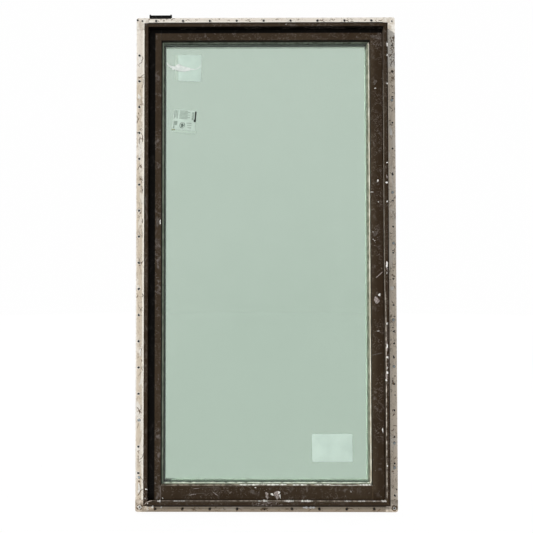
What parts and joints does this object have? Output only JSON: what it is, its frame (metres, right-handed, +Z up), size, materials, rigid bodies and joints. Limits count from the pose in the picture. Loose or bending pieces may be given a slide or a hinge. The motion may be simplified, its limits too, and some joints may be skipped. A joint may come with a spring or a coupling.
{
  "type": "fixed picture window",
  "caption": "Fixed picture window: clad wood frame with a narrow lip, set-back sash, tinted insulated glass, and a nailing fin with corner pads on every side.",
  "frame": {"origin": "rear face of the nailing fin, at the middle of the bottom fin strip", "axes": "+X to the right as seen from outside, +Y into the wall and the room, +Z up"},
  "size_m": [0.974, 0.16, 1.864],
  "materials": {
    "clad_aluminium": "dark bronze baked paint, chalked and scuffed",
    "fin_vinyl": "off-white vinyl with adhesive stains",
    "pad_vinyl": "soft vinyl, dirty",
    "frame_wood": "white-painted pine, bare on the sides that face the wall",
    "stop_wood": "white-painted pine",
    "bead": "brown vinyl, dusty",
    "glazing_sealant": "cream sealant, aged",
    "spacer": "mill finish",
    "tinted_glass": "clear, with a green tint",
    "black_rubber": "matte",
    "bracket_steel": "black paint"
  },
  "bodies": {
    "root": {"bottom_glazing_bead": "bead", "bottom_glazing_seal": "glazing_sealant", "bottom_inner_stop": "stop_wood", "bottom_left_corner_pad": "pad_vinyl", "bottom_rail_cladding": "clad_aluminium", "bottom_rail_wood": "frame_wood", "bottom_right_corner_pad": "pad_vinyl", "bottom_spacer_bar": "spacer", "head_bracket": "bracket_steel", "head_frame_cladding": "clad_aluminium", "head_nailing_fin": "fin_vinyl", "head_wood": "frame_wood", "inner_pane": "tinted_glass", "left_frame_cladding": "clad_aluminium", "left_glazing_bead": "bead", "left_glazing_seal": "glazing_sealant", "left_inner_stop": "stop_wood", "left_jamb_wood": "frame_wood", "left_nailing_fin": "fin_vinyl", "left_spacer_bar": "spacer", "left_stile_cladding": "clad_aluminium", "left_stile_wood": "frame_wood", "outer_pane": "tinted_glass", "right_frame_cladding": "clad_aluminium", "right_glazing_bead": "bead", "right_glazing_seal": "glazing_sealant", "right_inner_stop": "stop_wood", "right_jamb_wood": "frame_wood", "right_nailing_fin": "fin_vinyl", "right_spacer_bar": "spacer", "right_stile_cladding": "clad_aluminium", "right_stile_wood": "frame_wood", "sash_seal_strips": "black_rubber", "setting_blocks": "black_rubber", "sill_frame_cladding": "clad_aluminium", "sill_nailing_fin": "fin_vinyl", "sill_wood": "frame_wood", "top_glazing_bead": "bead", "top_glazing_seal": "glazing_sealant", "top_inner_stop": "stop_wood", "top_left_corner_pad": "pad_vinyl", "top_rail_cladding": "clad_aluminium", "top_rail_wood": "frame_wood", "top_right_corner_pad": "pad_vinyl", "top_spacer_bar": "spacer"}
  },
  "joints": []
}
